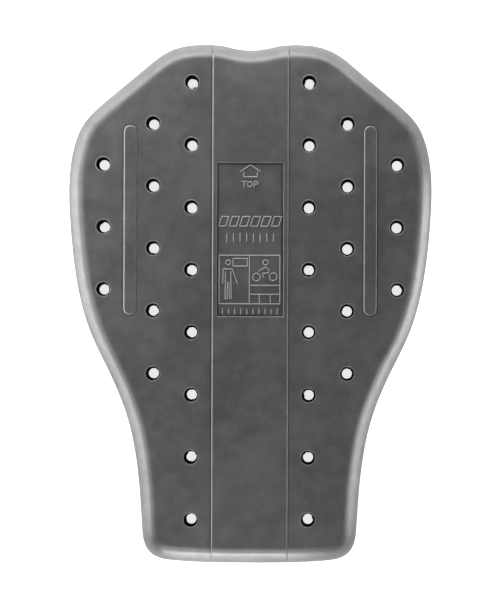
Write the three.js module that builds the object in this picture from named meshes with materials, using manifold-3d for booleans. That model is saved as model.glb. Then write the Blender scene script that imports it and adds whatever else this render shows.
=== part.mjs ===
// A back protector that slides into the pocket of a riding or ski jacket: one soft foam moulding,
// flat at the back, crowned at the face, with a raised centre band, two ribs, a sunk label field
// and six columns of vent holes. Millimetres. It lies on its back with its origin under its middle:
// +X across, +Y toward the shoulders, +Z out of the face.
import * as THREE from "three";
import { mergeVertices } from "three/addons/utils/BufferGeometryUtils.js";
import Module from "manifold-3d";

const wasm = await Module();
wasm.setup();

// Pad
const LENGTH = 500;
const WIDTH = 350;
const THICKNESS = 18; // at the centre band
const SIDE_THICKNESS = 15; // where the crowned face meets the widest sides
const EDGE_HEIGHT = 3.2; // the mould's parting line, above which the rim slopes inward
const EDGE_REACH = 15; // how far the rim's slope and the rounding over it run inward
const BACK_EDGE = 1.5; // chamfer between the back and the edge

// Raised centre band and ribs
const BAND_WIDTH = 73.2;
const BAND_RAISE = 0.8;
const RIB_LENGTH = 182;
const RIB_WIDTH = 12.5;
const RIB_RAISE = 0.8;
const RIB_FROM_TOP = 79;
const RIB_BETWEEN = 0.46; // its place between the middle and the outer hole column

// Sunk label field and its raised marks
const LABEL_WIDTH = 64;
const LABEL_LENGTH = 148;
const LABEL_DEPTH = 1;
const LABEL_FROM_TOP = 114.5;
const MARK_WIDTH = 1;
const MARK_RAISE = 0.5;

// Vent holes, narrowing from the face to the back
const HOLE_PITCH = 60;
const HOLE_FACE_WIDTH = 13.2;
const HOLE_BACK_WIDTH = 10;
const HOLE_ROUNDING = 1.1;
const HOLE_CLEARANCE = 0.5; // least distance between a hole's rounding and the rim's

// Fineness of the facets
const HOLE_SIDES = 16;
const ROUND_END_SIDES = 8;
const ROUND_MARK_SIDES = 10;
const CREASE_SPACING = 0.4; // least distance of other edge places from a crease, in steps

// Exactness
const SAME_PLACE = 1e-4;
const HALVINGS = 40;

// Half of the outline, from the middle of the lower edge to the middle of the top edge. Places are
// shares of half the width and half the length. The edge passes each place at its heading, in
// degrees, and holds it before and after for a share of the distance to the neighbouring place.
const OUTLINE = [
  { across: 0.0, up: -1.0, heading: 0, before: 0.33, after: 0.33, steps: 5 },
  { across: 0.42, up: -0.991, heading: 5, before: 0.33, after: 0.33, steps: 7 },
  { across: 0.59, up: -0.88, heading: 86.5, before: 0.6, after: 0.45, steps: 5 },
  { across: 0.642, up: -0.53, heading: 79, before: 0.33, after: 0.33, steps: 6 },
  { across: 0.793, up: -0.24, heading: 63.5, before: 0.36, after: 0.42, steps: 6 },
  { across: 0.94, up: 0.03, heading: 77, before: 0.42, after: 0.26, steps: 7 },
  { across: 1.0, up: 0.437, heading: 90, before: 0.28, after: 0.36, steps: 8 },
  { across: 0.907, up: 0.705, heading: 128, before: 0.28, after: 0.2, steps: 5 },
  { across: 0.607, up: 0.892, heading: 140, before: 0.5, after: 0.36, steps: 6 },
  { across: 0.248, up: 1.0, heading: 180, before: 0.5, after: 0.33, steps: 2 },
  { across: 0.125, up: 0.9905, heading: 195, before: 0.33, after: 0.33, steps: 2 },
  { across: 0.0, up: 0.978, heading: 180, before: 0.33, after: 0.33, steps: 0 },
];

// Section of the rim from its parting line to the face, as shares of its reach inward and of its
// rise: steep at the parting line, then an even slope that rounds over into the face
const RIM_SECTION = [
  { inward: 0, rise: 0 },
  { inward: 0.1, rise: 0.18 },
  { inward: 0.36, rise: 0.5 },
  { inward: 0.6, rise: 0.75 },
  { inward: 0.79, rise: 0.9 },
  { inward: 0.91, rise: 0.97 },
  { inward: 1, rise: 1 },
];

// Hole columns, the same left and right: distance from the middle as a share of half the width, and
// height of the first hole as a share of half the length
const HOLE_COLUMNS = [
  { across: 0.322, up: 0.85 },
  { across: 0.533, up: 0.692 },
  { across: 0.806, up: 0.534 },
];

// Raised marks of the label: strokes through places [across, up], as shares of half the label's
// width and half its length. A stroke that ends where it starts is closed.
const ARROW = [
  [[-0.285, 0.885], [0.005, 0.97], [0.295, 0.885]],
  [[-0.2, 0.87], [-0.2, 0.815], [0.21, 0.815], [0.21, 0.87]],
];
const TOP_SIGN = [
  [[-0.255, 0.757], [-0.115, 0.757]],
  [[-0.18, 0.757], [-0.18, 0.675]],
  [[0.12, 0.675], [0.12, 0.765]],
  [[0.12, 0.755], [0.24, 0.755], [0.24, 0.715], [0.12, 0.715]],
];
const TABLE = [
  [[-0.926, -0.203], [-0.926, -0.831], [0.896, -0.831], [0.896, -0.203], [-0.926, -0.203]],
  [[-0.017, -0.203], [-0.017, -0.831]],
  [[-0.017, -0.592], [0.896, -0.592]],
  [[-0.017, -0.707], [0.896, -0.707]],
  [[0.284, -0.707], [0.284, -0.831]],
  [[0.611, -0.707], [0.611, -0.831]],
  [[-0.509, -0.2435], [-0.509, -0.3436], [-0.08, -0.3436], [-0.08, -0.2435], [-0.509, -0.2435]],
];
const STANDING_FIGURE = [
  [[-0.815, -0.57], [-0.8, -0.38], [-0.53, -0.38], [-0.38, -0.565]],
  [[-0.735, -0.43], [-0.74, -0.77]],
  [[-0.575, -0.43], [-0.56, -0.77]],
  [[-0.685, -0.77], [-0.67, -0.56], [-0.63, -0.56], [-0.615, -0.77]],
];
const RIDER = [
  [[0.287, -0.4], [0.46, -0.355], [0.57, -0.39], [0.55, -0.43], [0.37, -0.437], [0.41, -0.49]],
];
const ROUND_MARKS = [
  { across: -0.01, up: 0.719, radius: 0.085 },
  { across: -0.653, up: -0.296, radius: 0.072 },
  { across: 0.464, up: -0.295, radius: 0.078 },
  { across: 0.197, up: -0.485, radius: 0.114 },
  { across: 0.695, up: -0.48, radius: 0.114 },
];
const SLANTED_CELLS = {
  count: 6,
  from: -0.95,
  to: 0.95,
  up: 0.237,
  height: 0.125,
  slant: 0.1,
  fill: 0.68,
};
const UPPER_TICKS = { count: 8, from: -0.7, to: 0.7, up: 0.028, height: 0.09 };
const LOWER_TICKS = { count: 10, from: -0.82, to: 0.82, up: -0.93, height: 0.05 };

// Closes a geometry's triangles into a solid that can be joined and cut
function solid(geometry) {
  geometry.deleteAttribute("normal");
  geometry.deleteAttribute("uv");
  const merged = mergeVertices(geometry, SAME_PLACE);
  return new wasm.Manifold(
    new wasm.Mesh({
      numProp: 3,
      vertProperties: merged.attributes.position.array,
      triVerts: new Uint32Array(merged.index.array),
    }),
  );
}

function geometryOf(made) {
  const mesh = made.getMesh();
  const geometry = new THREE.BufferGeometry();
  geometry.setAttribute("position", new THREE.BufferAttribute(mesh.vertProperties, 3));
  geometry.setIndex(new THREE.BufferAttribute(mesh.triVerts, 1));
  geometry.computeVertexNormals();
  return geometry;
}

function joined(solids) {
  return solids.reduce((whole, piece) => whole.add(piece));
}

// Triangles between two rings of equally many places. Rings that run anticlockwise seen from above
// face away from their middle, clockwise ones face toward it.
function wall(low, high) {
  return low.flatMap((corner, i) => {
    const next = (i + 1) % low.length;
    return [corner, low[next], high[next], corner, high[next], high[i]];
  });
}

// Triangles of a flat or slanting plate with holes in it, facing up
function plate(contour, holes) {
  const places = [contour, ...holes].flat();
  return THREE.ShapeUtils.triangulateShape(contour, holes).flatMap((corners) => {
    const [a, b, c] = corners.map((i) => places[i]);
    const turn = (b.x - a.x) * (c.y - a.y) - (c.x - a.x) * (b.y - a.y);
    return turn > 0 ? [a, b, c] : [a, c, b];
  });
}

// The stretch of edge between two rows of the outline table
function edgeCurve(start, end) {
  const from = new THREE.Vector2((start.across * WIDTH) / 2, (start.up * LENGTH) / 2);
  const to = new THREE.Vector2((end.across * WIDTH) / 2, (end.up * LENGTH) / 2);
  const distance = from.distanceTo(to);
  const towards = (heading, length) => {
    const angle = THREE.MathUtils.degToRad(heading);
    return new THREE.Vector2(Math.cos(angle), Math.sin(angle)).multiplyScalar(length);
  };
  return new THREE.CubicBezierCurve(
    from,
    from.clone().add(towards(start.heading, start.after * distance)),
    to.clone().sub(towards(end.heading, end.before * distance)),
    to,
  );
}

// The crowned face is folded at creases that run midway between the hole columns, so that every
// hole starts in a plane
const columnPlaces = [0, ...HOLE_COLUMNS.map(({ across }) => (across * WIDTH) / 2)];
const creases = columnPlaces.slice(1).map((x, i) => (x + columnPlaces[i]) / 2);

// A place on the edge of the pad and the direction from there into the pad
function edgeAt(curve, time) {
  const along = curve.getTangent(time);
  return { place: curve.getPoint(time), inward: new THREE.Vector2(-along.y, along.x) };
}

// Times between two others at which the inner line of the rim crosses a crease
function creaseCrossings(curve, from, to) {
  const beyond = (time, crease) => {
    const { place, inward } = edgeAt(curve, time);
    return place.x + EDGE_REACH * inward.x > crease;
  };
  return creases
    .filter((crease) => beyond(from, crease) !== beyond(to, crease))
    .map((crease) => {
      let near = from;
      let far = to;
      for (let halving = 0; halving < HALVINGS; halving++) {
        const middle = (near + far) / 2;
        if (beyond(middle, crease) === beyond(from, crease)) near = middle;
        else far = middle;
      }
      return far;
    });
}

function stretchTimes(curve, steps) {
  const even = Array.from({ length: steps }, (_, step) => step / steps);
  const crossings = even.flatMap((time) => creaseCrossings(curve, time, time + 1 / steps));
  const apart = (time) => crossings.every((at) => Math.abs(at - time) > CREASE_SPACING / steps);
  const spaced = even.filter(apart);
  return [...spaced, ...crossings].sort((a, b) => a - b);
}

// The whole outline, anticlockwise from the middle of the lower edge
function outlineLoop() {
  const right = OUTLINE.slice(0, -1).flatMap((row, i) => {
    const curve = edgeCurve(row, OUTLINE[i + 1]);
    return stretchTimes(curve, row.steps).map((time) => edgeAt(curve, time));
  });
  const topMiddle = {
    place: new THREE.Vector2(0, (OUTLINE.at(-1).up * LENGTH) / 2),
    inward: new THREE.Vector2(0, -1),
  };
  const left = right.slice(1).reverse().map(({ place, inward }) => ({
    place: new THREE.Vector2(-place.x, place.y),
    inward: new THREE.Vector2(-inward.x, inward.y),
  }));
  return [...right, topMiddle, ...left];
}

const outline = outlineLoop();

// How far inside the outline a place lies, negative outside
function depthInside(place) {
  const nearest = outline.reduce((best, edge) =>
    edge.place.distanceTo(place) < best.place.distanceTo(place) ? edge : best,
  );
  return place.clone().sub(nearest.place).dot(nearest.inward);
}

// Each column of holes steps down by the pitch for as long as the holes stay clear of the rim
function holePlaces() {
  const leastDepth = EDGE_REACH + HOLE_CLEARANCE + HOLE_FACE_WIDTH / 2 + HOLE_ROUNDING;
  return HOLE_COLUMNS.flatMap(({ across, up }) => {
    const places = [];
    const place = new THREE.Vector2((across * WIDTH) / 2, (up * LENGTH) / 2);
    while (depthInside(place) > leastDepth) {
      places.push(place.clone(), new THREE.Vector2(-place.x, place.y));
      place.y -= HOLE_PITCH;
    }
    return places;
  });
}

// Height of the crowned face under the band and ribs: level in the middle, falling to the sides,
// and straight between the creases
const bedHeight = THICKNESS - BAND_RAISE;

function crownHeight(x) {
  const [start] = creases;
  const bends = [0, ...creases, WIDTH / 2];
  const heightAt = (bend) => {
    const share = Math.max(0, bend - start) / (WIDTH / 2 - start);
    return bedHeight - (bedHeight - SIDE_THICKNESS) * share * share;
  };
  const across = Math.abs(x);
  const after = bends.findIndex((bend, i) => i > 0 && (across <= bend || i === bends.length - 1));
  const share = (across - bends[after - 1]) / (bends[after] - bends[after - 1]);
  return THREE.MathUtils.lerp(heightAt(bends[after - 1]), heightAt(bends[after]), share);
}

function ring(inset, heightAt) {
  return outline.map(({ place, inward }) => {
    const moved = place.clone().addScaledVector(inward, inset);
    return new THREE.Vector3(moved.x, moved.y, heightAt(moved.x));
  });
}

// The rings of the rim, from the parting line to the face
function rimRings(faceHeight) {
  return RIM_SECTION.map(({ inward, rise }) =>
    ring(EDGE_REACH * inward, (x) => EDGE_HEIGHT + (faceHeight(x) - EDGE_HEIGHT) * rise),
  );
}

// A hole's rings, clockwise: at its rounded lip in the face, under the rounding, and in the back
function holeRings(middle, faceHeight) {
  const circle = (radius, heightAt) =>
    Array.from({ length: HOLE_SIDES }, (_, side) => {
      const turn = (-side / HOLE_SIDES) * 2 * Math.PI;
      const x = middle.x + radius * Math.cos(turn);
      return new THREE.Vector3(x, middle.y + radius * Math.sin(turn), heightAt(x));
    });
  const faceRadius = HOLE_FACE_WIDTH / 2;
  return [
    circle(faceRadius + HOLE_ROUNDING, faceHeight),
    circle(faceRadius, (x) => faceHeight(x) - HOLE_ROUNDING),
    circle(HOLE_BACK_WIDTH / 2, () => 0),
  ];
}

// The face inside the rim, one plate between each two creases
function facePlates(innerRing, holes) {
  const borders = [...creases.map((x) => -x).reverse(), ...creases];
  const bounds = [-WIDTH, ...borders, WIDTH];
  return bounds.slice(1).flatMap((right, i) => {
    const left = bounds[i];
    const within = ({ x }) => x > left - SAME_PLACE && x < right + SAME_PLACE;
    return plate(innerRing.filter(within), holes.filter((hole) => hole.every(within)));
  });
}

// The moulding above its parting line, closed by a level floor there: what raised parts are cut from
function upperMoulding(faceHeight) {
  const rings = rimRings(faceHeight);
  const floor = plate(rings[0], []).reverse();
  const rim = rings.slice(1).flatMap((upper, i) => wall(rings[i], upper));
  const corners = [...floor, ...rim, ...facePlates(rings.at(-1), [])];
  return solid(new THREE.BufferGeometry().setFromPoints(corners));
}

function padBody() {
  const holes = holePlaces().map((place) => holeRings(place, crownHeight));
  const rings = [ring(BACK_EDGE, () => 0), ring(0, () => BACK_EDGE), ...rimRings(crownHeight)];
  const back = plate(rings[0], holes.map((hole) => hole.at(-1))).reverse();
  const edge = rings.slice(1).flatMap((upper, i) => wall(rings[i], upper));
  const face = facePlates(rings.at(-1), holes.map((hole) => hole[0]));
  const holeWalls = holes.flatMap(([top, neck, bottom]) => [...wall(neck, top), ...wall(bottom, neck)]);
  return solid(new THREE.BufferGeometry().setFromPoints([...back, ...edge, ...face, ...holeWalls]));
}

// A flat shape drawn in X and Y, as a prism from one height to another
function prism(shape, low, high) {
  const geometry = new THREE.ExtrudeGeometry(shape, {
    depth: high - low,
    bevelEnabled: false,
    curveSegments: ROUND_END_SIDES,
  });
  return solid(geometry.translate(0, 0, low));
}

function rectangle(width, length, middle) {
  const halfWidth = width / 2;
  const halfLength = length / 2;
  return new THREE.Shape([
    new THREE.Vector2(middle.x - halfWidth, middle.y - halfLength),
    new THREE.Vector2(middle.x + halfWidth, middle.y - halfLength),
    new THREE.Vector2(middle.x + halfWidth, middle.y + halfLength),
    new THREE.Vector2(middle.x - halfWidth, middle.y + halfLength),
  ]);
}

function centreBand() {
  const strip = prism(rectangle(BAND_WIDTH, 2 * LENGTH, new THREE.Vector2()), 0, 2 * THICKNESS);
  return upperMoulding(() => THICKNESS).intersect(strip);
}

function rib(side) {
  const [, middleColumn, outerColumn] = HOLE_COLUMNS;
  const across = THREE.MathUtils.lerp(middleColumn.across, outerColumn.across, RIB_BETWEEN);
  const x = (side * across * WIDTH) / 2;
  const radius = RIB_WIDTH / 2;
  const upperY = LENGTH / 2 - RIB_FROM_TOP - radius;
  const lowerY = upperY - RIB_LENGTH + RIB_WIDTH;
  const shape = new THREE.Shape();
  shape.absarc(x, upperY, radius, 0, Math.PI, false);
  shape.absarc(x, lowerY, radius, Math.PI, 2 * Math.PI, false);
  return upperMoulding((at) => crownHeight(at) + RIB_RAISE).intersect(prism(shape, 0, 2 * THICKNESS));
}

const labelMiddle = new THREE.Vector2(0, LENGTH / 2 - LABEL_FROM_TOP - LABEL_LENGTH / 2);
const labelFloor = THICKNESS - LABEL_DEPTH;

function labelField() {
  return prism(rectangle(LABEL_WIDTH, LABEL_LENGTH, labelMiddle), labelFloor, 2 * THICKNESS);
}

function labelPlace([across, up]) {
  const place = new THREE.Vector2((across * LABEL_WIDTH) / 2, (up * LABEL_LENGTH) / 2);
  return place.add(labelMiddle);
}

// One side of a stroke along a path, with mitred corners
function strokeSide(path, offset, closed) {
  const across = path.map((place, i) => {
    const next = path[(i + 1) % path.length];
    return new THREE.Vector2(place.y - next.y, next.x - place.x).normalize();
  });
  return path.map((place, i) => {
    const start = !closed && i === 0;
    const end = !closed && i === path.length - 1;
    const before = start ? across[0] : across.at(i - 1);
    const after = end ? before : across[i];
    const mitre = before.clone().add(after).divideScalar(1 + before.dot(after));
    return place.clone().addScaledVector(mitre, offset);
  });
}

// A raised mark of one stroke width, rooted in the floor of the label field
function stroke(path) {
  const closed = path.length > 2 && path[0].equals(path.at(-1));
  const places = closed ? path.slice(0, -1) : path;
  const left = strokeSide(places, MARK_WIDTH / 2, closed);
  const right = strokeSide(places, -MARK_WIDTH / 2, closed);
  const shape = new THREE.Shape(closed ? right : [...right, ...left.reverse()]);
  if (closed) shape.holes.push(new THREE.Path(left));
  return prism(shape, labelFloor - LABEL_DEPTH, labelFloor + MARK_RAISE);
}

function roundPath({ across, up, radius }) {
  const middle = labelPlace([across, up]);
  const size = (radius * LABEL_WIDTH) / 2;
  const places = Array.from({ length: ROUND_MARK_SIDES }, (_, side) => {
    const turn = (side / ROUND_MARK_SIDES) * 2 * Math.PI;
    return new THREE.Vector2(middle.x + size * Math.cos(turn), middle.y + size * Math.sin(turn));
  });
  return [...places, places[0]];
}

function tickPaths({ count, from, to, up, height }) {
  return Array.from({ length: count }, (_, i) => {
    const across = THREE.MathUtils.lerp(from, to, i / (count - 1));
    return [[across, up - height / 2], [across, up + height / 2]];
  });
}

function cellPaths({ count, from, to, up, height, slant, fill }) {
  const pitch = (to - from) / count;
  const low = up - height / 2;
  const high = up + height / 2;
  return Array.from({ length: count }, (_, i) => {
    const left = from + i * pitch;
    const right = left + fill * pitch;
    return [[left, low], [right, low], [right + slant, high], [left + slant, high], [left, low]];
  });
}

function labelMarks() {
  const paths = [
    ...ARROW,
    ...TOP_SIGN,
    ...cellPaths(SLANTED_CELLS),
    ...tickPaths(UPPER_TICKS),
    ...TABLE,
    ...STANDING_FIGURE,
    ...RIDER,
    ...tickPaths(LOWER_TICKS),
  ].map((path) => path.map(labelPlace));
  return joined([...paths, ...ROUND_MARKS.map(roundPath)].map(stroke));
}

function foamPad() {
  const moulded = joined([padBody(), centreBand(), rib(1), rib(-1)])
    .subtract(labelField())
    .add(labelMarks());
  const foam = new THREE.MeshStandardMaterial({ color: 0x565554, roughness: 0.55, metalness: 0 });
  const mesh = new THREE.Mesh(geometryOf(moulded), foam);
  mesh.name = "foam_pad";
  return mesh;
}

const backProtector = new THREE.Group();
backProtector.add(foamPad());

export default backProtector;
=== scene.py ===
# A back protector for the pocket of a riding or ski jacket: one soft foam moulding that lies on its
# back on a white studio floor, seen from straight above. Places and sizes are in millimetres until
# a mesh is made of them.
import math
import random

import bpy
import numpy as np
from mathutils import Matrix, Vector, geometry, kdtree, noise


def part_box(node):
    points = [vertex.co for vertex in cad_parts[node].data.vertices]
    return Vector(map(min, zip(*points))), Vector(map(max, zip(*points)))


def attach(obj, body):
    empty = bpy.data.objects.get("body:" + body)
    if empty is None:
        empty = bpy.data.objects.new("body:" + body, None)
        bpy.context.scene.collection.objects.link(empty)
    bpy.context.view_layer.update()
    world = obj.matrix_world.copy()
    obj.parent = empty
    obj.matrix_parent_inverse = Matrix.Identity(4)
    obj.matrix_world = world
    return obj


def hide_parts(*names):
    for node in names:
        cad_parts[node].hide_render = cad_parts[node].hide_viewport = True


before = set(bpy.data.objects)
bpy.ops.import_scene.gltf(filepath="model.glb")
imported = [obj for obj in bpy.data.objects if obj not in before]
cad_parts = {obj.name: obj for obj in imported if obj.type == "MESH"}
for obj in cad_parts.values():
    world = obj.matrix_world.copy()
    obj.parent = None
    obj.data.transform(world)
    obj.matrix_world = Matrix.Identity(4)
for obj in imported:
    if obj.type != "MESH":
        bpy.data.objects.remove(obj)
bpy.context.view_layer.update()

# The pad's edge. The foam is poured into a two-part mould, whose parting line runs low round the
# pad. Wide shoulders with a dip at the neck narrow through the waist to the lumbar end.
METRES = 0.001
pad_low, pad_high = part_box("foam_pad")
pad_width, pad_length, pad_thickness = (pad_high - pad_low) / METRES
half_size = np.array([pad_width / 2, pad_length / 2])
edge_spacing = 2.8

# Half of the edge, from the middle of the lumbar end to the middle of the neck: place across and
# up as shares of half the size, heading in degrees, and how long it holds the heading before and
# after the place, as shares of the distance to the neighbouring place
pad_edge = [
    (0.0, -1.0, 0, 0.33, 0.33),
    (0.42, -0.991, 5, 0.33, 0.33),
    (0.59, -0.88, 86.5, 0.6, 0.45),
    (0.642, -0.53, 79, 0.33, 0.33),
    (0.793, -0.24, 63.5, 0.36, 0.42),
    (0.94, 0.03, 77, 0.42, 0.26),
    (1.0, 0.437, 90, 0.28, 0.36),
    (0.907, 0.705, 128, 0.28, 0.2),
    (0.607, 0.892, 140, 0.5, 0.36),
    (0.248, 1.0, 180, 0.5, 0.33),
    (0.125, 0.9905, 195, 0.33, 0.33),
    (0.0, 0.978, 180, 0.33, 0.33),
]


def heading(degrees):
    return np.array([math.cos(math.radians(degrees)), math.sin(math.radians(degrees))])


def edge_stretch(start, end):
    """Places along one stretch of the edge and the directions from them into the pad."""
    first = np.array(start[:2]) * half_size
    last = np.array(end[:2]) * half_size
    distance = np.linalg.norm(last - first)
    leaving = first + heading(start[2]) * start[4] * distance
    arriving = last - heading(end[2]) * end[3] * distance
    t = np.linspace(0, 1, round(distance / edge_spacing), endpoint=False)[:, None]
    places = (1 - t) ** 3 * first + 3 * t * (1 - t) ** 2 * leaving
    places += 3 * t**2 * (1 - t) * arriving + t**3 * last
    along = (1 - t) ** 2 * (leaving - first) + 2 * t * (1 - t) * (arriving - leaving)
    along += t**2 * (last - arriving)
    along /= np.linalg.norm(along, axis=1)[:, None]
    return places, np.stack([-along[:, 1], along[:, 0]], axis=1)


stretches = [edge_stretch(start, end) for start, end in zip(pad_edge, pad_edge[1:])]
right_edge = np.concatenate([places for places, _ in stretches])
right_inward = np.concatenate([inward for _, inward in stretches])

# More places where the crease beside the centre band crosses the edge, at the lumbar end and the
# neck, so that it is as sharp there as on the face. Spots along the edge are counted in places.
seam_across = 36.95
seam_crossings = seam_across + np.array([-1.1, -0.7, -0.35, 0, 0.35, 0.7, 1.1])
near_middle = 25  # places from either middle of the edge to well past the crease
least_gap = 0.2
along_edge = np.arange(len(right_edge))
at_lumbar_end = np.interp(seam_crossings, right_edge[:near_middle, 0], along_edge[:near_middle])
at_neck = np.interp(seam_crossings, right_edge[:-near_middle:-1, 0], along_edge[:-near_middle:-1])
crossings = np.concatenate([at_lumbar_end, at_neck])
clear = np.abs(along_edge[:, None] - crossings).min(axis=1) > least_gap
along_with_seams = np.sort(np.concatenate([along_edge[clear], crossings]))


def with_seams(values):
    columns = [np.interp(along_with_seams, along_edge, column) for column in values.T]
    return np.stack(columns, axis=1)


right_edge = with_seams(right_edge)
right_inward = with_seams(right_inward)
neck = [[0, pad_edge[-1][1] * half_size[1]]]
outline = np.concatenate([right_edge, neck, right_edge[:0:-1] * (-1, 1)])
into_pad = np.concatenate([right_inward, [[0, -1]], right_inward[:0:-1] * (-1, 1)])


def depth_inside(places):
    """How far each place lies inside the edge of the pad, negative outside."""
    run = np.roll(outline, -1, axis=0) - outline
    run_squared = (run**2).sum(axis=1)
    depths = []
    at_once = 1500
    for part in np.array_split(places, len(places) // at_once + 1):
        offset = part[:, None] - outline
        share = ((offset * run).sum(axis=2) / run_squared).clip(0, 1)
        offset -= share[..., None] * run
        distance = np.linalg.norm(offset, axis=2)
        nearest = distance.argmin(axis=1)
        each = np.arange(len(part))
        side = (offset[each, nearest] * into_pad[nearest]).sum(axis=1)
        depths.append(distance[each, nearest] * np.sign(side))
    return np.concatenate(depths)


# The crowned face and its rim. The face is level in the middle and falls a little to the sides.
# At the rim it rounds over into an even bevel, which steepens just above the parting line.
parting_height = 3.2
rim_reach = 17
bevel_reach = 7
bevel_slope = 38  # degrees
edge_slope = 22  # degrees more at the parting line
edge_slope_reach = 2
bed_height = pad_thickness - 0.9
crown_fall = 2.2
crown_start = 28
foam_waviness = 0.13
swell_size = 34
ripple_size = 11
ripple_share = 0.4


def smooth_step(value, start, end):
    share = ((value - start) / (end - start)).clip(0, 1)
    return share * share * (3 - 2 * share)


rim_samples = 111
rim_depths = np.linspace(0, rim_reach, rim_samples)
rim_slopes = bevel_slope + edge_slope * np.exp(-rim_depths / edge_slope_reach)
rim_slopes *= 1 - smooth_step(rim_depths, bevel_reach, rim_reach)
rim_rises = np.tan(np.radians(rim_slopes))
rim_rise = np.concatenate([[0], np.cumsum(rim_rises[1:] + rim_rises[:-1])])


def rim_roll(depth):
    """Share of the face's height that the rim reaches at a depth inside the edge."""
    return np.interp(depth, rim_depths, rim_rise / rim_rise[-1])


def crown(places):
    past = (np.abs(places[:, 0]) - crown_start).clip(0, None) / (half_size[0] - crown_start)
    return bed_height - crown_fall * past**2


def waves(places, size, seed):
    """Smooth unevenness from -1 to 1, with swells about as wide as the size."""
    return np.array([noise.noise(Vector((x / size, y / size, seed))) for x, y in places])


# The centre band and the two ribs, moulded in one with the pad. They stand a little proud, with a
# crease at their foot. The creases of the band run on down the rim.
raised_height = 0.75
raised_step = 0.55
raised_foot = 0.1
band_half_width = 36.6
rib_half_width = 6.25
rib_across = 115.25
rib_reach = 84.75
rib_middle = 80
crease_depth = 0.45
crease_width = 0.5
crease_away = 0.35
rib_crease_share = 0.8
crease_start = 1.5
crease_full = 3.5


def rib_distance(places):
    """Distance outward from the side of the nearer rib, negative inside."""
    across = np.abs(places[:, 0]) - rib_across
    along = (np.abs(places[:, 1] - rib_middle) - rib_reach).clip(0, None)
    return np.hypot(across, along) - rib_half_width


def band_and_ribs(places, depth):
    band = np.abs(places[:, 0]) - band_half_width
    rib = rib_distance(places)
    raised = 2 - smooth_step(band, -raised_step, raised_foot)
    raised -= smooth_step(rib, -raised_step, raised_foot)
    clear_of_edge = smooth_step(depth, crease_start, crease_full)
    band_crease = np.exp(-(((band - crease_away) / crease_width) ** 2)) * clear_of_edge
    rib_crease = np.exp(-(((rib - crease_away) / crease_width) ** 2))
    return raised_height * raised - crease_depth * (band_crease + rib_crease_share * rib_crease)


# The label field, sunk into the band where the mould carries an insert. Its raised marks are an
# arrow and TOP for the way up, and plain cells, ticks and two pictograms in a table.
label_middle = np.array([0, 61.5])
label_half_size = np.array([32, 74])
label_depth = 1.2
label_corner = 0.8
label_step = 0.45
mark_half_width = 0.55
mark_raise = 0.65
mark_side = 0.4
groove_depth = 0.9
groove_width = 0.55
groove_away = 0.15

# Strokes through places across and up, as shares of half the label field
arrow = [
    [(-0.285, 0.885), (0.005, 0.97), (0.295, 0.885)],
    [(-0.2, 0.87), (-0.2, 0.815), (0.21, 0.815), (0.21, 0.87)],
]
top_sign = [
    [(-0.245, 0.755), (-0.115, 0.755)],
    [(-0.18, 0.755), (-0.18, 0.683)],
    [(0.115, 0.683), (0.115, 0.755), (0.225, 0.75), (0.225, 0.722), (0.115, 0.717)],
]
table = [
    [(-0.926, -0.203), (-0.926, -0.831), (0.896, -0.831), (0.896, -0.203), (-0.926, -0.203)],
    [(-0.017, -0.203), (-0.017, -0.831)],
    [(-0.017, -0.592), (0.896, -0.592)],
    [(-0.017, -0.707), (0.896, -0.707)],
    [(0.284, -0.707), (0.284, -0.831)],
    [(0.611, -0.707), (0.611, -0.831)],
    [(-0.509, -0.2435), (-0.509, -0.3436), (-0.08, -0.3436), (-0.08, -0.2435), (-0.509, -0.2435)],
]
standing_figure = [
    [(-0.815, -0.57), (-0.8, -0.38), (-0.53, -0.38), (-0.38, -0.565)],
    [(-0.735, -0.43), (-0.74, -0.77)],
    [(-0.575, -0.43), (-0.56, -0.77)],
    [(-0.685, -0.77), (-0.67, -0.56), (-0.63, -0.56), (-0.615, -0.77)],
]
rider = [[(0.287, -0.4), (0.46, -0.355), (0.57, -0.39), (0.55, -0.43), (0.37, -0.437), (0.41, -0.49)]]
round_marks = [  # across, up, radius
    (-0.015, 0.719, 0.072),
    (-0.653, -0.296, 0.072),
    (0.464, -0.295, 0.078),
    (0.197, -0.485, 0.114),
    (0.695, -0.48, 0.114),
]


def round_stroke(across, up, radius):
    turns = np.linspace(0, 2 * math.pi, 25)
    flatten = label_half_size[0] / label_half_size[1]
    return [(across + radius * math.cos(a), up + radius * flatten * math.sin(a)) for a in turns]


def ticks(count, reach, up, height):
    return [[(x, up - height / 2), (x, up + height / 2)] for x in np.linspace(-reach, reach, count)]


def slanted_cell(left, width, up, height, slant):
    low = up - height / 2
    high = up + height / 2
    right = left + width
    return [(left, low), (right, low), (right + slant, high), (left + slant, high), (left, low)]


label_paths = arrow + top_sign + table + standing_figure + rider
label_paths += [round_stroke(*mark) for mark in round_marks]
label_paths += ticks(count=8, reach=0.7, up=0.028, height=0.09)
label_paths += ticks(count=10, reach=0.82, up=-0.93, height=0.05)
cell_count = 6
cells_width = 1.9
for cell in range(cell_count):
    left = -cells_width / 2 + cell * cells_width / cell_count
    label_paths.append(slanted_cell(left, width=0.215, up=0.237, height=0.125, slant=0.1))
label_strokes = []
for path in label_paths:
    corners = np.array(path) * label_half_size + label_middle
    label_strokes += list(zip(corners, corners[1:]))


def label_distance(places):
    """Distance outward from the side of the label field, negative inside."""
    past = np.abs(places - label_middle) - label_half_size + label_corner
    outside = np.linalg.norm(past.clip(0, None), axis=1)
    return outside + past.max(axis=1).clip(None, 0) - label_corner


def marks_at(places):
    """How much of a raised mark stands at each place, from 0 to 1."""
    marked = np.zeros(len(places))
    near = np.flatnonzero(label_distance(places) < 0)
    for start, end in label_strokes:
        run = end - start
        share = ((places[near] - start) @ run / (run @ run)).clip(0, 1)
        distance = np.linalg.norm(places[near] - start - share[:, None] * run, axis=1)
        stroke = 1 - smooth_step(distance, mark_half_width - mark_side, mark_half_width)
        marked[near] = np.maximum(marked[near], stroke)
    return marked


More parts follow.
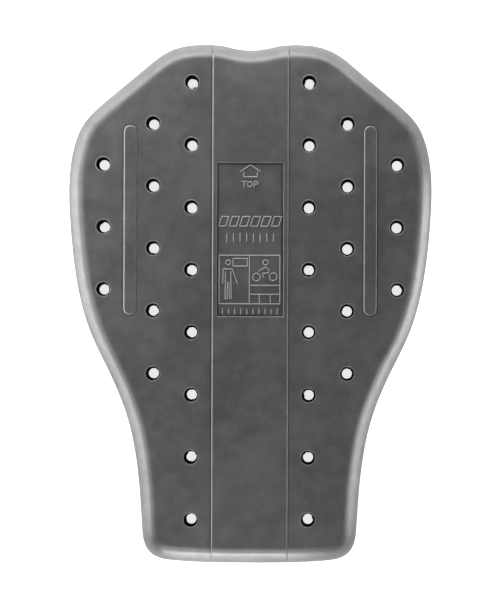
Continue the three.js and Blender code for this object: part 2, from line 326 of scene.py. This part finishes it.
def label_relief(places):
    distance = label_distance(places)
    sunk = 1 - smooth_step(distance, -label_step, 0)
    groove = groove_depth * np.exp(-(((distance + label_step + groove_away) / groove_width) ** 2))
    return sunk * (mark_raise * marks_at(places) - label_depth - groove)


# The vent holes, 32 in six columns, formed by tapered pins in the mould. The face dips a little
# toward each hole, the lip is rounded, and thin flash is left where the pin met the back.
hole_columns = [(0.322, 0.85, 8), (0.533, 0.692, 5), (0.806, 0.534, 3)]  # across, up, count
hole_pitch = 60
hole_lip = 7.4
hole_neck = 6.55
hole_foot = 4.85
foot_height = 0.5
wall_foot = hole_foot + 0.1
wall_foot_height = foot_height + 0.6
back_foot = hole_foot + 0.15
pin_lean = np.array([0.45, -0.2])
hole_drift = 0.25
hole_sides = 48
dish_start = hole_lip - 2
dish_reach = 12
dish_depth = 0.3
thin_flash = 0.07
bite_counts = (0, 1, 1, 2, 3)
bite_widths = (0.8, 2.6)  # in sides of the hole
bite_depths = (0.2, 0.9)
foam_dice = random.Random(7)
holes = []
for across, up, count in hole_columns:
    for number in range(2 * count):
        side = 1 - 2 * (number % 2)
        shift = [foam_dice.uniform(-hole_drift, hole_drift) for _ in range(2)]
        holes.append((side * across, up) * half_size - (0, number // 2 * hole_pitch) + shift)


def circle(middle, radius, sides):
    turns = np.arange(sides) / sides * 2 * math.pi
    return middle + np.stack([np.cos(turns), np.sin(turns)], axis=1) * np.reshape(radius, (-1, 1))


def hole_distance(places):
    return np.min([np.linalg.norm(places - hole, axis=1) for hole in holes], axis=0)


def hole_dish(places):
    return dish_depth * (1 - smooth_step(hole_distance(places), dish_start, dish_reach))


def pad_height(places, depth):
    """Height of the moulding over its back, anywhere on the face and the rim."""
    face = crown(places) + band_and_ribs(places, depth) + label_relief(places) - hole_dish(places)
    ripples = ripple_share * waves(places, ripple_size, 8)
    face += foam_waviness * (waves(places, swell_size, 3) + ripples)
    return parting_height + (face - parting_height) * rim_roll(depth)


# The skin, which closes the foam all over. Its mesh is dense along every edge that catches the
# light and wide on the open face, and runs on down the rim and the holes to the flat back.
rim_join = 5
clear_of_join = 0.4
clear_of_lip = 0.3
laid = [outline + rim_join * into_pad] + [circle(hole, hole_lip, hole_sides) for hole in holes]
face_borders = []
for loop in laid:
    first = len(face_borders)
    face_borders += [(first + i, first + (i + 1) % len(loop)) for i in range(len(loop))]


def lay(places, gap):
    """Adds the places on the face that keep the gap from those that are already laid."""
    places = places[hole_distance(places) > hole_lip + clear_of_lip]
    places = places[depth_inside(places) > rim_join + clear_of_join]
    known = np.concatenate(laid)
    tree = kdtree.KDTree(len(known))
    for i, place in enumerate(known):
        tree.insert((*place, 0), i)
    tree.balance()
    laid.append(np.array([p for p in places if tree.find((*p, 0))[2] > gap]).reshape(-1, 2))


def beside_stroke(start, end, spacing):
    """Places along a stroke of a mark, along its two edges and just outside them."""
    length = np.linalg.norm(end - start)
    along = (end - start) / length
    beside = np.array([-along[1], along[0]])
    steps = np.linspace(0, 1, max(2, round(length / spacing) + 1))[:, None]
    line = start + steps * (end - start)
    return np.concatenate([line + offset * beside for offset in (0, 0.2, -0.2, 0.64, -0.64, 1, -1)])


def rounded_loop(half_width, half_length, corner, spacing):
    """Places round a box with rounded corners."""
    half = np.array([half_width - corner, half_length - corner])
    middles = np.array([[1, 1], [-1, 1], [-1, -1], [1, -1]]) * half
    quarter_turn = corner * 1.6
    steps = max(3, round(quarter_turn / spacing) + 2)
    turns = np.radians(np.linspace(0, 90, steps) + np.array([[0], [90], [180], [270]]))
    corners = middles[:, None] + corner * np.stack([np.cos(turns), np.sin(turns)], axis=2)
    corners = corners.reshape(-1, 2)
    loop = []
    for here, there in zip(corners, np.roll(corners, -1, axis=0)):
        count = max(1, round(np.linalg.norm(there - here) / spacing))
        loop.append(here + np.arange(count)[:, None] / count * (there - here))
    return np.concatenate(loop)


def honeycomb(low, high, spacing):
    """Places at the corners of even triangles that fill a box."""
    row_spacing = spacing * 0.866
    columns = np.arange(low[0], high[0], spacing)
    across, up = np.meshgrid(columns, np.arange(low[1], high[1], row_spacing))
    across[1::2] += spacing / 2
    return np.stack([across, up], axis=2).reshape(-1, 2)


for start, end in label_strokes:
    lay(beside_stroke(start, end, spacing=0.65), gap=0.19)

step_gap = 0.22
for offset in (-0.05, -0.45, 0.3, -0.9, 0.9):
    corner = label_corner + max(0, offset)
    lay(label_middle + rounded_loop(*(label_half_size + offset), corner, spacing=1), step_gap)
step_offsets = (0.1, -0.22, -0.55, 0.35, 0.7, 1.3, -1.4, 2.3)
for offset in step_offsets:
    radius = rib_half_width + offset
    loop = rounded_loop(radius, rib_reach + radius, radius, spacing=1.8)
    loop += (rib_across, rib_middle)
    lay(np.concatenate([loop, loop * (-1, 1)]), step_gap)
band_spacing = 2.4
rows = np.arange(-half_size[1], half_size[1], band_spacing)
for offset in step_offsets:
    column = np.stack([np.full(len(rows), band_half_width + offset), rows], axis=1)
    lay(np.concatenate([column, column * (-1, 1)]), step_gap)

for inset in (6, 7.1, 8.2, 9.4, 10.6, 11.8, 13, 14.2, 15.6, 17.2, 19, 21):
    lay(outline + inset * into_pad, gap=0.7)
sides_by_radius = 4.2
for radius in (8.2, 9.2, 10.4, 12.2):
    sides = round(radius * sides_by_radius)
    lay(np.concatenate([circle(hole, radius, sides) for hole in holes]), gap=0.6)
lay(honeycomb(label_middle - label_half_size, label_middle + label_half_size, 1.7), gap=0.8)
lay(honeycomb(-half_size, half_size, 3.1), gap=1.7)

face = np.concatenate(laid)
face_depth = depth_inside(face)
skin_places = [np.column_stack([face, pad_height(face, face_depth)])]
skin_faces = []


def plate(places, numbers):
    """Triangles within the outer loop and round the holes, numbered as in the skin."""
    same_place = 1e-6
    corners = [Vector(place) for place in places]
    made = geometry.delaunay_2d_cdt(corners, face_borders, [], 1, same_place)
    corners = np.array([same[0] for same in made[3]])[np.array(made[2])]
    loops = (corners - len(outline)) // hole_sides
    in_hole = (loops >= 0) & (loops < len(holes)) & (loops == loops[:, :1])
    return numbers[corners[~in_hole.all(axis=1)]]


def add_row(places, heights):
    """Adds one loop of places to the skin and gives their numbers."""
    first = sum(len(part) for part in skin_places)
    skin_places.append(np.column_stack([places, heights]))
    return np.arange(first, first + len(places))


def strips(rows):
    """Faces between loops that lie next to each other, in order from the face down."""
    for upper, lower in zip(rows, rows[1:]):
        ahead = np.roll(upper, -1), np.roll(lower, -1)
        skin_faces.extend(np.stack([upper, lower, ahead[1], ahead[0]], axis=1).tolist())


skin_faces += plate(face, np.arange(len(face))).tolist()

# Down the rim's bevel, over the parting line, and round to the back
rim_rows = [np.arange(len(outline))]
for inset in (4, 3, 2, 1.1, 0.5, 0.2, 0):
    row = outline + inset * into_pad
    rim_rows.append(add_row(row, pad_height(row, np.full(len(row), inset))))
for inset, height in ((0, 2.2), (0, 1.3), (0.25, 0.6), (0.7, 0.2), (1.5, 0), (2.4, 0)):
    rim_rows.append(add_row(outline + inset * into_pad, np.full(len(outline), height)))
strips(rim_rows)

# Down each hole: the rounded lip, the tapered wall, and the flash with the bites torn out of it
hole_feet = []
first_hole_face = len(skin_faces)
lip_round = hole_lip - hole_neck
for number, hole in enumerate(holes):
    lip = np.arange(hole_sides) + len(outline) + number * hole_sides
    top = skin_places[0][lip, 2]
    rows = [lip]
    for turn in np.radians((22, 45, 68, 90)):
        radius = hole_lip - lip_round * math.sin(turn)
        drop = lip_round * (1 - math.cos(turn))
        rows.append(add_row(circle(hole, radius, hole_sides), top - drop))
    flash = np.array([foam_dice.uniform(0, thin_flash) for _ in range(hole_sides)])
    for bite in range(foam_dice.choice(bite_counts)):
        place = foam_dice.uniform(0, hole_sides)
        width = foam_dice.uniform(*bite_widths)
        size = foam_dice.uniform(*bite_depths)
        away = (np.arange(hole_sides) - place + hole_sides / 2) % hole_sides - hole_sides / 2
        flash += size * np.exp(-((away / width) ** 2))
    for share in (0.3, 0.65, 0.9):
        radius = hole_neck + share * (wall_foot - hole_neck)
        level = top - lip_round + share * (wall_foot_height - top + lip_round)
        rows.append(add_row(circle(hole + share * pin_lean, radius, hole_sides), level))
    foot = hole + pin_lean
    flash_height = np.full(hole_sides, foot_height)
    rows.append(add_row(circle(foot, hole_foot - flash, hole_sides), flash_height))
    rows.append(add_row(circle(foot, back_foot, hole_sides), np.zeros(hole_sides)))
    hole_feet.append(rows[-1])
    strips(rows)
last_hole_face = len(skin_faces)

back = np.concatenate([rim_rows[-1]] + hole_feet)
skin_places = np.concatenate(skin_places)
skin_faces += plate(skin_places[back, :2], back)[:, ::-1].tolist()

mesh = bpy.data.meshes.new("pad_skin")
mesh.from_pydata((skin_places * METRES).tolist(), [], skin_faces)
mesh.shade_smooth()
pad_skin = bpy.data.objects.new("pad_skin", mesh)
bpy.context.collection.objects.link(pad_skin)

# Handling has rubbed the skin pale where it stands proud: on the raised marks, on the shoulders of the
# band, the ribs and the label field, and on the lips of the holes. These pale lines are partly that
# scuffing and partly painted highlight, strongest on left-hand sides, which face the brightest lamps.
# Painted shade darkens the creases and round the label field, most on the right of each rib and
# least along the label field's foot, which faces the north lamps.
soft_line_width = 0.4


def soft_line(distance, middle):
    return np.exp(-(((distance - middle) / soft_line_width) ** 2))


def store_mask(name, values):
    """Stores how strong a mask of scuffing and painted highlight, or of painted shade, is at each place
    on the skin, from 0 to 1.
    """
    mesh.attributes.new(name, "FLOAT", "POINT").data.foreach_set("value", np.max(values, axis=0))


spots = skin_places[:, :2]
from_rib = rib_distance(spots)
from_band = np.abs(spots[:, 0]) - band_half_width
from_label = label_distance(spots)
spot_depth = depth_inside(spots)
clear_of_rim = smooth_step(spot_depth, 9, 13)
clear_of_edge = smooth_step(spot_depth, crease_start, crease_full)
left_of_rib = spots[:, 0] < np.sign(spots[:, 0]) * rib_across
left_of_band = spots[:, 0] < 0
from_label_foot = spots[:, 1] - label_middle[1] + label_half_size[1]
above_label_foot = smooth_step(from_label_foot, 1, 3)
# Pale scuffing and painted highlight, stronger on left-hand sides
scuffs_and_highlights = [
    marks_at(spots),
    (0.3 + 0.7 * left_of_rib) * soft_line(from_rib, -0.3),
    (0.65 + 0.35 * left_of_band) * soft_line(from_band, -0.3) * clear_of_rim,
    0.3 * soft_line(from_label, 0.1),
    0.12 * soft_line(hole_distance(spots), hole_lip + 0.1),
]
# Painted shade where the creases and the sunk label field fall into shadow
painted_shade_lines = [
    soft_line(from_label, -0.6) * (0.3 + 0.7 * above_label_foot),
    0.7 * soft_line(from_label, -1.1) * above_label_foot,
    (0.9 - 0.5 * left_of_rib) * soft_line(from_rib, 0.5),
    (1 - 0.3 * clear_of_rim) * soft_line(from_band, 0.5) * clear_of_edge,
]
store_mask("scuff_and_highlight", scuffs_and_highlights)
store_mask("painted_shade", painted_shade_lines)


# The foam's closed skin is dark grey and satin, finely grained by the mould and faintly cloudy,
# with a few dark specks. The pale scuffing and painted highlight, and the painted shade, lie over its
# colour.
class Layer:
    """A value in the make-up of a finish. Arithmetic with it adds Math nodes."""

    def __init__(self, tree, socket=None):
        self.tree = tree
        self.socket = socket

    def node(self, kind, settings=(), inputs=(), output=0):
        """Adds a node with these settings, then these values or links, and gives an output of it."""
        made = self.tree.nodes.new(kind)
        for name, setting in dict(settings).items():
            setattr(made, name, setting)
        for key, value in dict(inputs).items():
            if isinstance(value, Layer):
                self.tree.links.new(value.socket, made.inputs[key])
            else:
                made.inputs[key].default_value = value
        return Layer(self.tree, made.outputs[output] if made.outputs else None)

    def maths(self, operation, first, second):
        return self.node("ShaderNodeMath", {"operation": operation}, {0: first, 1: second})

    def __add__(self, other):
        return self.maths("ADD", self, other)

    def __radd__(self, other):
        return self.maths("ADD", other, self)

    def __sub__(self, other):
        return self.maths("SUBTRACT", self, other)

    def __rsub__(self, other):
        return self.maths("SUBTRACT", other, self)

    def __mul__(self, other):
        return self.maths("MULTIPLY", self, other)

    def __rmul__(self, other):
        return self.maths("MULTIPLY", other, self)


def new_finish(name):
    """An empty material, ready for its first layer."""
    material = bpy.data.materials.new(name)
    material.use_nodes = True
    material.node_tree.nodes.clear()
    return material, Layer(material.node_tree)


def mottle(finish, place, size, detail, roughness=0.5):
    """Cloudy noise from 0 to 1, with clouds about as wide as the size in millimetres."""
    settings = {"noise_dimensions": "3D"}
    inputs = {"Vector": place, "Scale": 1 / (size * METRES), "Detail": detail, "Roughness": roughness}
    return finish.node("ShaderNodeTexNoise", settings, inputs, "Fac")


def between(finish, value, low, high):
    """0 below the low end, 1 above the high end, smooth between them."""
    inputs = {"Value": value, "From Min": low, "From Max": high}
    return finish.node("ShaderNodeMapRange", {"interpolation_type": "SMOOTHSTEP"}, inputs)


def colour_mix(finish, share, first, second):
    return finish.node("ShaderNodeMix", {"data_type": "RGBA"}, {0: share, 6: first, 7: second}, 2)


foam_dark = (0.08, 0.079, 0.078, 1)
foam_pale = (0.124, 0.122, 0.121, 1)
# Pale colour for the scuffing and for the painted highlight
foam_scuff_and_highlight = (0.44, 0.437, 0.433, 1)
# Near black, for the dark specks and for the painted shade
speck_and_shade_black = (0.03, 0.03, 0.03, 1)
cloud_size = 45
smudge_size = 14
ridge_size = 4
speck_size = 1.6
grain_size = 1.1
fine_grain_size = 0.45
relief_depth = 0.16
skin, layer = new_finish("foam_skin")
place = layer.node("ShaderNodeTexCoord", output="Object")
clouds = mottle(layer, place, cloud_size, 3, 0.6)
smudges = mottle(layer, place, smudge_size, 3, 0.6)
grain = mottle(layer, place, grain_size, 3, 0.6)
fine_grain = mottle(layer, place, fine_grain_size, 2)
ridges = mottle(layer, place, ridge_size, 2)
specks = between(layer, mottle(layer, place, speck_size, 2), 0.7, 0.76)
# The pale mix is partly scuffing and partly painted highlight on proud edges, most on left-hand sides
scuff_and_highlight_share = layer.node("ShaderNodeAttribute", {"attribute_name": "scuff_and_highlight"}, output="Fac")
shade = between(layer, clouds * 0.45 + smudges * 0.35 + grain * 0.2, 0.35, 0.65)
colour = colour_mix(layer, shade, foam_dark, foam_pale)
colour = colour_mix(layer, scuff_and_highlight_share * (0.45 + 0.55 * grain), colour, foam_scuff_and_highlight)
# Painted shade, near black, in the creases and round the label field
painted_shade = layer.node("ShaderNodeAttribute", {"attribute_name": "painted_shade"}, output="Fac")
colour = colour_mix(layer, painted_shade, colour, speck_and_shade_black)
colour = colour_mix(layer, specks, colour, speck_and_shade_black)
relief = grain * 0.6 + fine_grain * 0.3 + ridges * 0.5
bump = {"Strength": 1, "Distance": relief_depth * METRES, "Height": relief}
bumped = layer.node("ShaderNodeBump", {}, bump, "Normal")
roughness = 0.24 + 0.14 * grain
shader = layer.node(
    "ShaderNodeBsdfPrincipled",
    {},
    {"Base Color": colour, "Roughness": roughness, "Normal": bumped},
)
layer.node("ShaderNodeOutputMaterial", {}, {"Surface": shader})
mesh.materials.append(skin)

# The walls of the holes are matt, open foam, torn by the pins as they were drawn, and coloured
# near black, far darker than the skin: painted shade for the dark inside of the holes. The rounded
# lip keeps the skin.
hole_shade_dark = (0.008, 0.008, 0.008, 1)
hole_shade_pale = (0.02, 0.02, 0.02, 1)
torn_size = 1.2
torn_depth = 0.4
hole_shade_finish, layer = new_finish("hole_wall_shade")
place = layer.node("ShaderNodeTexCoord", output="Object")
torn = mottle(layer, place, torn_size, 3)
colour = colour_mix(layer, torn, hole_shade_dark, hole_shade_pale)
bump = {"Strength": 1, "Distance": torn_depth * METRES, "Height": torn}
bumped = layer.node("ShaderNodeBump", {}, bump, "Normal")
shader = layer.node(
    "ShaderNodeBsdfPrincipled",
    {},
    {"Base Color": colour, "Roughness": 1, "Specular IOR Level": 0, "Normal": bumped},
)
layer.node("ShaderNodeOutputMaterial", {}, {"Surface": shader})
mesh.materials.append(hole_shade_finish)
finish_numbers = np.zeros(len(skin_faces), dtype=int)
lip_faces = 3 * hole_sides
faces_per_hole = (last_hole_face - first_hole_face) // len(holes)
for first in range(first_hole_face, last_hole_face, faces_per_hole):
    finish_numbers[first + lip_faces : first + faces_per_hole] = 1
mesh.polygons.foreach_set("material_index", finish_numbers)

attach(pad_skin, "root")
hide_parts("foam_pad")

# The studio: a floor that gives out its own light and reads as plain white, with a painted shadow
# that makes it a little dimmer under the pad, low soft boxes round the pad that rake its relief, and
# nothing bright overhead. It is laid out in metres.
floor_reach = 12
floor_drop = 0.0004
floor_corners = [(x * floor_reach, y * floor_reach, 0) for x, y in ((-1, -1), (1, -1), (1, 1), (-1, 1))]
floor_mesh = bpy.data.meshes.new("studio_floor")
floor_mesh.from_pydata(floor_corners, [], [(0, 1, 2, 3)])
studio_floor = bpy.data.objects.new("studio_floor", floor_mesh)
bpy.context.collection.objects.link(studio_floor)
studio_floor.location.z = -floor_drop
white, layer = new_finish("studio_white")
place = layer.node("ShaderNodeTexCoord", output="Object")
across = layer.node("ShaderNodeSeparateXYZ", {}, {0: place}, "X")
along = layer.node("ShaderNodeSeparateXYZ", {}, {0: place}, "Y")
from_middle = across * across * 35 + along * along * 17  # 1 near the edge of the pad
# Painted shadow: the floor's own light falls to 0.8 under and round the pad and is 1 beyond it
beyond_pad = between(layer, from_middle, 0.8, 1.5)
floor_light_with_painted_shadow = colour_mix(layer, beyond_pad, (0.8, 0.8, 0.8, 1), (1, 1, 1, 1))
shader = layer.node(
    "ShaderNodeBsdfPrincipled",
    {},
    {
        "Base Color": (0.9, 0.9, 0.9, 1),
        "Roughness": 0.9,
        "Emission Color": floor_light_with_painted_shadow,
        "Emission Strength": 1,
    },
)
layer.node("ShaderNodeOutputMaterial", {}, {"Surface": shader})
floor_mesh.materials.append(white)


def soft_box(name, middle, facing, width, low, high, brightness):
    """An upright lit panel over a place on the floor, from a low to a high edge."""
    lamp = bpy.data.lights.new(name, "AREA")
    lamp.shape = "RECTANGLE"
    lamp.size = width
    lamp.size_y = high - low
    lamp.energy = math.pi * width * (high - low) * brightness
    lamp_object = bpy.data.objects.new(name, lamp)
    lamp_object.location = (*middle, (low + high) / 2)
    lamp_object.rotation_euler = Vector(facing).to_track_quat("-Z", "Y").to_euler()
    lamp_object.visible_camera = False
    bpy.context.collection.objects.link(lamp_object)


# The low boxes light the steep foot of the rim and the walls light its slope. The walls to the west
# and north give the most light. No box stands diagonally outside the two corners of the lumbar end,
# so the rim is darker there.
east, west, north, south = (1, 0, 0), (-1, 0, 0), (0, 1, 0), (0, -1, 0)
soft_box("west_foot_south", (-0.36, -0.2), east, 0.13, 0.001, 0.04, 17)
soft_box("west_foot", (-0.36, 0), east, 0.28, 0.001, 0.035, 18)
soft_box("west_foot_north", (-0.36, 0.28), east, 0.28, 0.001, 0.06, 8.5)
soft_box("west_wall", (-0.36, 0.08), east, 0.68, 0.06, 0.4, 2.5)
soft_box("north_foot", (-0.12, 0.43), south, 0.48, 0.03, 0.06, 13)
soft_box("north_foot_east", (0.24, 0.43), south, 0.24, 0.03, 0.06, 6)
soft_box("north_wall", (0, 0.43), south, 0.72, 0.06, 0.23, 5)
soft_box("east_foot", (0.36, -0.06), west, 0.4, 0.001, 0.025, 26)
soft_box("east_foot_north", (0.36, 0.28), west, 0.28, 0.001, 0.025, 4)
soft_box("east_wall", (0.36, 0.14), west, 0.56, 0.06, 0.22, 0.9)
soft_box("east_wall_south", (0.36, -0.2), west, 0.13, 0.06, 0.25, 4)
soft_box("south_foot", (-0.03, -0.43), north, 0.2, 0.001, 0.03, 26)
soft_box("south_wall", (-0.06, -0.43), north, 0.26, 0.06, 0.48, 3.5)

# The world gives only a little light, and past the floor the camera sees it as plain white
world = bpy.data.worlds.new("studio_world")
bpy.context.scene.world = world
world.use_nodes = True
world.node_tree.nodes.clear()
layer = Layer(world.node_tree)
seen = layer.node("ShaderNodeLightPath", output="Is Camera Ray")
tone = colour_mix(layer, seen, (0.09, 0.09, 0.09, 1), (1, 1, 1, 1))
background = layer.node("ShaderNodeBackground", {}, {"Color": tone, "Strength": 1})
layer.node("ShaderNodeOutputWorld", {}, {"Surface": background})
bpy.context.scene.view_settings.view_transform = "Standard"

# The camera looks straight down from 2.3 m, with the neck of the pad at the top of the picture
camera = bpy.data.cameras.new("camera")
camera.lens = 142.8
camera.clip_end = 50
camera_object = bpy.data.objects.new("camera", camera)
camera_object.location = (0, 0.0036, 2.3)
camera_object.rotation_euler.z = math.radians(0.2)
bpy.context.collection.objects.link(camera_object)
bpy.context.scene.camera = camera_object
